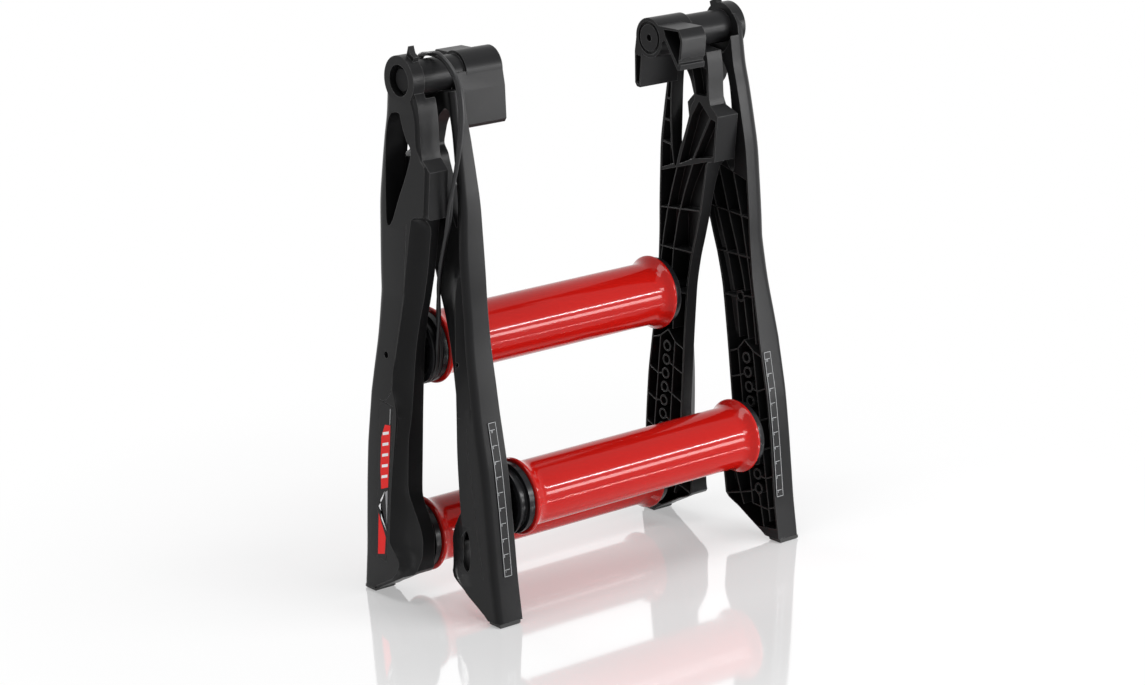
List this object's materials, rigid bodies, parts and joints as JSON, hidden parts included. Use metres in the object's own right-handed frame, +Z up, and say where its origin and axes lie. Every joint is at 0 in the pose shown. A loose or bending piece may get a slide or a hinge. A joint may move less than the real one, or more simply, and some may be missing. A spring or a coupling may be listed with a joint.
{
  "type": "bike rollers",
  "caption": "Folding drum rollers for riding a bicycle indoors: two hinged frames with flared turning drums, folded and standing on rubber toes.",
  "frame": {"origin": "on the floor, below the middle of the whole: midway between the outer faces of the arms, and as far behind the foremost point as before the rearmost", "axes": "+Z up, +X along the drums, -Y the side to which the front frame leans"},
  "size_m": [0.5482, 0.2524, 0.7308],
  "materials": {
    "arm_plastic": "moulded, fine grain",
    "cap_plastic": "turned smooth",
    "drum_red": "glossy red coat",
    "steel": "turned",
    "black_steel": "blackened",
    "pad_rubber": "matt",
    "belt": "smooth",
    "ruler": "light scale lines and numbers printed on black",
    "panel": "printed panel"
  },
  "bodies": {
    "rear_frame": {"rear_arm_right": "arm_plastic", "rear_arm_left": "arm_plastic", "hinge_pin_right": "black_steel", "hinge_washer_right": "black_steel", "hinge_screw_right": "black_steel", "side_panel_left": "panel", "rear_toe_pad_left": "pad_rubber", "rear_toe_pad_right": "pad_rubber", "rear_upper_axle": "steel", "rear_upper_spacer_left": "steel", "rear_upper_spacer_right": "steel", "rear_lower_axle": "steel", "rear_lower_spacer_left": "steel", "rear_lower_spacer_right": "steel", "tie_screw_left": "steel", "tie_screw_right": "steel", "drive_belt": "belt"},
    "front_frame": {"front_arm_left": "arm_plastic", "front_arm_right": "arm_plastic", "hinge_pin_left": "black_steel", "hinge_washer_left": "black_steel", "hinge_screw_left": "black_steel", "side_panel_right": "panel", "front_toe_pad_left": "pad_rubber", "front_toe_pad_right": "pad_rubber", "front_ruler_left": "ruler", "front_ruler_right": "ruler", "front_axle": "steel", "front_spacer_left": "steel", "front_spacer_right": "steel"},
    "rear_upper_drum": {"rear_upper_drum": "drum_red", "rear_upper_pulley": "cap_plastic", "rear_upper_end_cap": "cap_plastic", "rear_upper_bearing_left": "steel", "rear_upper_bearing_right": "steel"},
    "rear_lower_drum": {"rear_lower_drum": "drum_red", "rear_lower_pulley": "cap_plastic", "rear_lower_end_cap": "cap_plastic", "rear_lower_bearing_left": "steel", "rear_lower_bearing_right": "steel"},
    "front_drum": {"front_drum": "drum_red", "front_pulley": "cap_plastic", "front_end_cap": "cap_plastic", "front_bearing_left": "steel", "front_bearing_right": "steel"}
  },
  "joints": [
    {"name": "fold", "type": "hinge", "parent": "rear_frame", "child": "front_frame", "pos_m": [0, -0.00364, 0.68812], "axis": [-1, 0, 0], "range_deg": [0, 165.8], "deforming": ["drive_belt"]},
    {"name": "rear_upper_spin", "type": "hinge", "parent": "rear_frame", "child": "rear_upper_drum", "pos_m": [0, 0.04483, 0.33138], "axis": [1, 0, 0], "continuous": true},
    {"name": "rear_lower_spin", "type": "hinge", "parent": "rear_frame", "child": "rear_lower_drum", "pos_m": [0, 0.07747, 0.0694], "axis": [1, 0, 0], "continuous": true},
    {"name": "front_spin", "type": "hinge", "parent": "front_frame", "child": "front_drum", "pos_m": [0, -0.07485, 0.14879], "axis": [1, 0, 0], "continuous": true}
  ]
}
